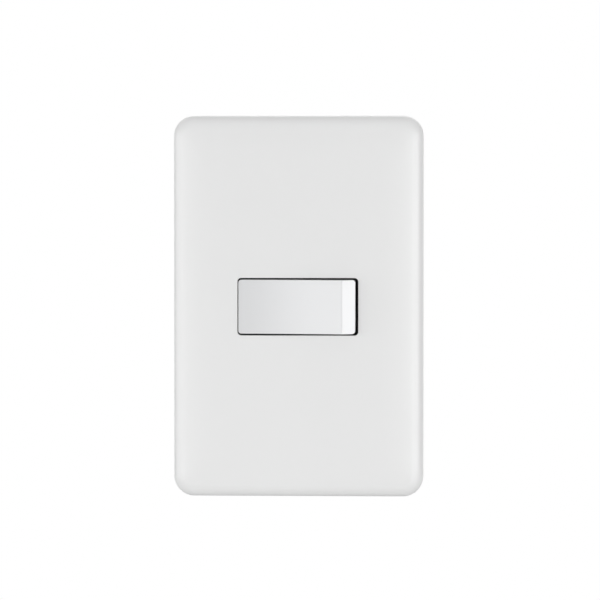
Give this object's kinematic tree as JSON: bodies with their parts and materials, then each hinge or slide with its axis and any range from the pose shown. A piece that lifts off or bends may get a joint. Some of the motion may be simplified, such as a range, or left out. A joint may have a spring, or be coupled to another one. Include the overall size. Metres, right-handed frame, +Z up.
{
  "type": "rocker wall switch",
  "caption": "White screwless wall plate with a horizontal rocker switch module, support frame and rear wire terminals.",
  "frame": {"origin": "midway between the two box screw slots, on the wall plane (the rear face of the support frame)", "axes": "+X across the plate to the right as seen from the front, +Y into the wall, +Z up the plate"},
  "size_m": [0.0774, 0.0407, 0.118],
  "materials": {
    "plate_plastic": "satin",
    "rocker_plastic": "gloss",
    "support_plastic": "matt",
    "module_plastic": "matt",
    "plunger_plastic": "smooth",
    "brass": "rolled strip",
    "contact_metal": "bright silver alloy",
    "steel": "zinc plated"
  },
  "bodies": {
    "support": {"support_frame": "support_plastic", "module_housing": "module_plastic", "module_base": "module_plastic", "housing_screws": "steel", "fixed_contact": "contact_metal", "common_busbar": "brass", "switched_busbar": "brass", "common_cage": "brass", "switched_cage": "brass"},
    "plate": {"face_plate": "plate_plastic"},
    "rocker": {"rocker_cap": "rocker_plastic", "rocker_carrier": "module_plastic", "plunger_spring": "steel"},
    "plunger": {"plunger": "plunger_plastic"},
    "blade": {"contact_blade": "brass", "moving_contact": "contact_metal"},
    "clamp_common": {"common_clamp_pad": "steel"},
    "screw_common": {"common_terminal_screw": "steel"},
    "clamp_switched": {"switched_clamp_pad": "steel"},
    "screw_switched": {"switched_terminal_screw": "steel"}
  },
  "joints": [
    {"name": "plate_pull", "type": "slide", "parent": "support", "child": "plate", "axis": [0, -1, 0], "range_m": [0, 0.03]},
    {"name": "rocker_tilt", "type": "hinge", "parent": "support", "child": "rocker", "pos_m": [0, -0.0051, 0], "axis": [0, 0, 1], "range_deg": [0, 11]},
    {"name": "plunger_slide", "type": "slide", "parent": "rocker", "child": "plunger", "axis": [-0.0958, -0.9954, 0], "range_m": [0, 0.0012], "stiffness_N_per_m": 600, "springref_m": -0.004, "deforming": ["plunger_spring"]},
    {"name": "blade_tilt", "type": "hinge", "parent": "support", "child": "blade", "pos_m": [0, 0.0097, 0], "axis": [0, 0, 1], "range_deg": [-19, 0]},
    {"name": "common_clamp_slide", "type": "slide", "parent": "support", "child": "clamp_common", "axis": [0, 0, -1], "range_m": [0, 0.00384]},
    {"name": "common_screw_turn", "type": "hinge", "parent": "clamp_common", "child": "screw_common", "pos_m": [0.0125, 0.0192, 0.008], "axis": [0, 0, -1], "range_deg": [0, 2304]},
    {"name": "switched_clamp_slide", "type": "slide", "parent": "support", "child": "clamp_switched", "axis": [0, 0, -1], "range_m": [0, 0.00384]},
    {"name": "switched_screw_turn", "type": "hinge", "parent": "clamp_switched", "child": "screw_switched", "pos_m": [-0.0125, 0.0192, 0.008], "axis": [0, 0, -1], "range_deg": [0, 2304]}
  ],
  "couplings": [
    {"joint": "blade_tilt", "follows": "rocker_tilt", "ratio": -1.7273},
    {"joint": "common_clamp_slide", "follows": "common_screw_turn", "m_per_rad": 0.00009549},
    {"joint": "switched_clamp_slide", "follows": "switched_screw_turn", "m_per_rad": 0.00009549}
  ]
}
